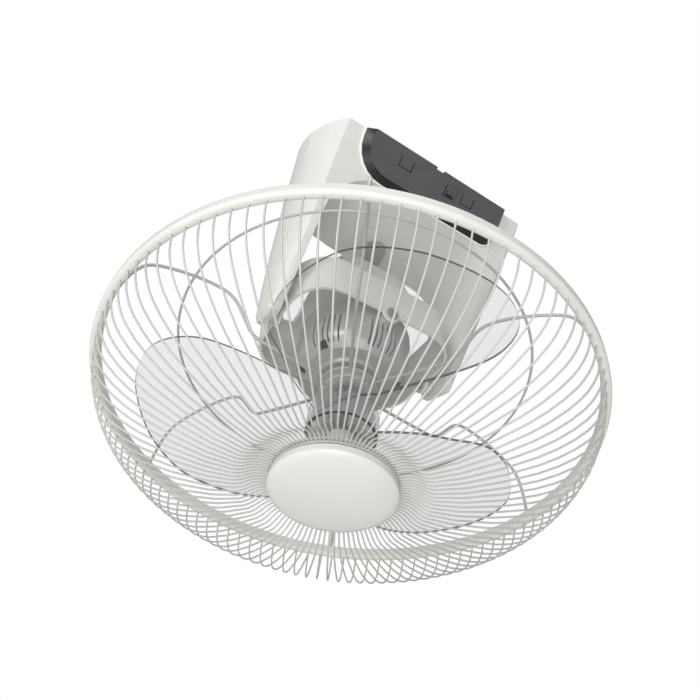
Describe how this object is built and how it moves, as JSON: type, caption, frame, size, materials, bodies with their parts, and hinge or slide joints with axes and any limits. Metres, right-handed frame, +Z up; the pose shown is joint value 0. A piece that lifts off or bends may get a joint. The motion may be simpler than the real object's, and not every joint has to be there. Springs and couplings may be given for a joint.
{
  "type": "orbital ceiling fan",
  "caption": "Ceiling fan whose caged, round head hangs on a gimbal and is led round a cone by a crank; one-piece moulded blades, flat-sided base with a control panel.",
  "frame": {"origin": "on the ceiling plane, straight above the centre of the gimbal", "axes": "+Z up into the ceiling, +X along the long side of the base, the control panel faces -Y"},
  "size_m": [0.4764, 0.4535, 0.389],
  "materials": {
    "white": "white satin plastic",
    "coated_wire": "white powder-coated steel wire",
    "frosted": "frosted translucent plastic",
    "shell": "light grey painted steel",
    "charcoal": "charcoal satin plastic",
    "dark": "dark smoked plastic",
    "steel": "bright steel",
    "copper": "enamelled copper wire",
    "board": "green circuit board",
    "soft_white": "off-white plastic"
  },
  "bodies": {
    "base": {"base_housing": "white", "ceiling_plate": "steel", "cover_screw_left": "steel", "cover_screw_right": "steel", "left_leg_pin": "steel", "right_leg_pin": "steel", "control_panel": "charcoal", "receiver_lens": "dark", "swing_motor": "steel", "control_board": "board", "board_relay": "dark", "terminal_block": "soft_white", "run_capacitor": "dark"},
    "crank": {"crank_arm": "soft_white", "crank_socket": "dark"},
    "power_button_body": {"power_button": "charcoal"},
    "swing_button_body": {"swing_button": "charcoal"},
    "swing_frame_body": {"swing_frame": "white", "left_swing_bush": "soft_white", "right_swing_bush": "soft_white", "near_head_pin": "steel", "far_head_pin": "steel"},
    "fan_head": {"motor_front_cover": "shell", "motor_rear_cover": "shell", "swing_stem": "steel", "stem_ball": "soft_white", "stator_core": "steel", "front_winding": "copper", "rear_winding": "copper", "front_bearing": "steel", "rear_bearing": "steel", "rim_hoop": "white", "front_guard": "coated_wire", "rear_guard": "coated_wire", "guard_nut": "soft_white", "badge_plate": "soft_white", "badge_cap": "white", "badge_screw": "steel"},
    "rotor": {"motor_shaft": "steel", "rotor_core": "steel", "fan_blades": "frosted", "spinner_nut": "soft_white"}
  },
  "joints": [
    {"name": "crank_turn", "type": "hinge", "parent": "base", "child": "crank", "pos_m": [0, 0, -0.045], "axis": [0, 0, 1], "continuous": true},
    {"name": "swing_tilt", "type": "hinge", "parent": "base", "child": "swing_frame_body", "pos_m": [0, 0, -0.1776], "axis": [1, 0, 0], "range_deg": [-1.26, 41.74]},
    {"name": "head_tilt", "type": "hinge", "parent": "swing_frame_body", "child": "fan_head", "pos_m": [0, 0, -0.1776], "axis": [0, 0.9383, -0.346], "range_deg": [-28.88, 14.12]},
    {"name": "fan_spin", "type": "hinge", "parent": "fan_head", "child": "rotor", "pos_m": [0, 0, -0.1776], "axis": [0.1284, 0.3431, 0.9305], "continuous": true},
    {"name": "power_press", "type": "slide", "parent": "base", "child": "power_button_body", "axis": [0, 0.9241, 0.3822], "range_m": [0, 0.0012], "stiffness_N_per_m": 300},
    {"name": "swing_press", "type": "slide", "parent": "base", "child": "swing_button_body", "axis": [0, 0.9241, 0.3822], "range_m": [0, 0.0012], "stiffness_N_per_m": 300}
  ]
}
